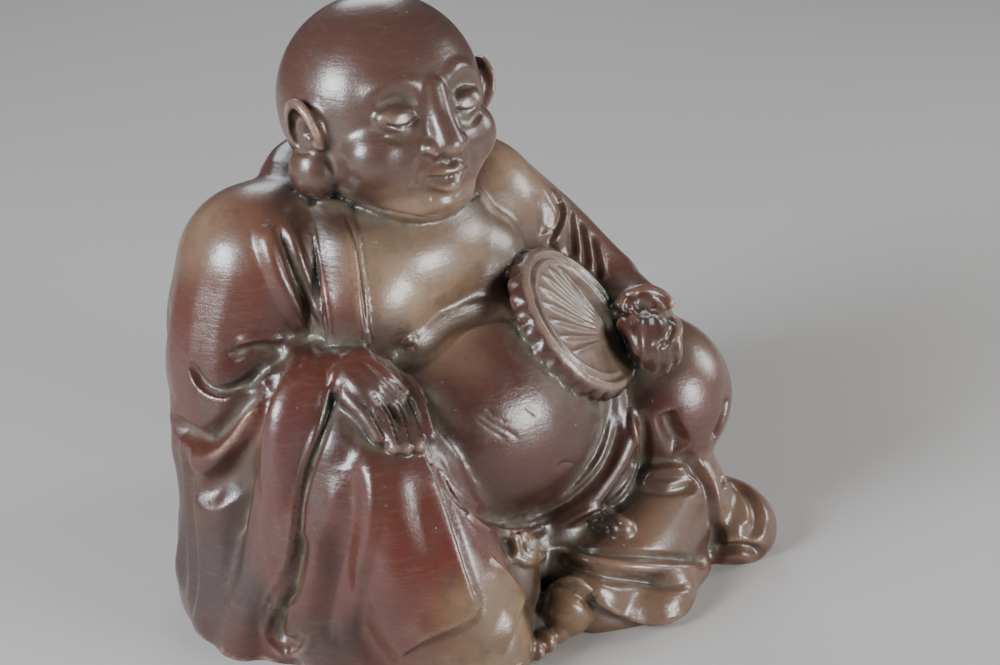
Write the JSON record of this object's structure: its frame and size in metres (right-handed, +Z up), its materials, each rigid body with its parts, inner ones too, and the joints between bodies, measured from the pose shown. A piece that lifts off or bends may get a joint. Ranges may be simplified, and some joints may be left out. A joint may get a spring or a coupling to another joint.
{
  "type": "seated hotei figure",
  "caption": "Seated hotei figure of fired clay in one piece, with bare belly, draped robe, round fan and sack, on a flat underside.",
  "frame": {"origin": "centre of the bounding box on the underside", "axes": "+Z up, the figure faces -Y, +X towards the figure's left hand and its sack"},
  "size_m": [0.232, 0.204, 0.24],
  "materials": {
    "fired_clay": "satin red-brown fired clay"
  },
  "bodies": {
    "root": {"hotei_figure": "fired_clay"}
  },
  "joints": []
}
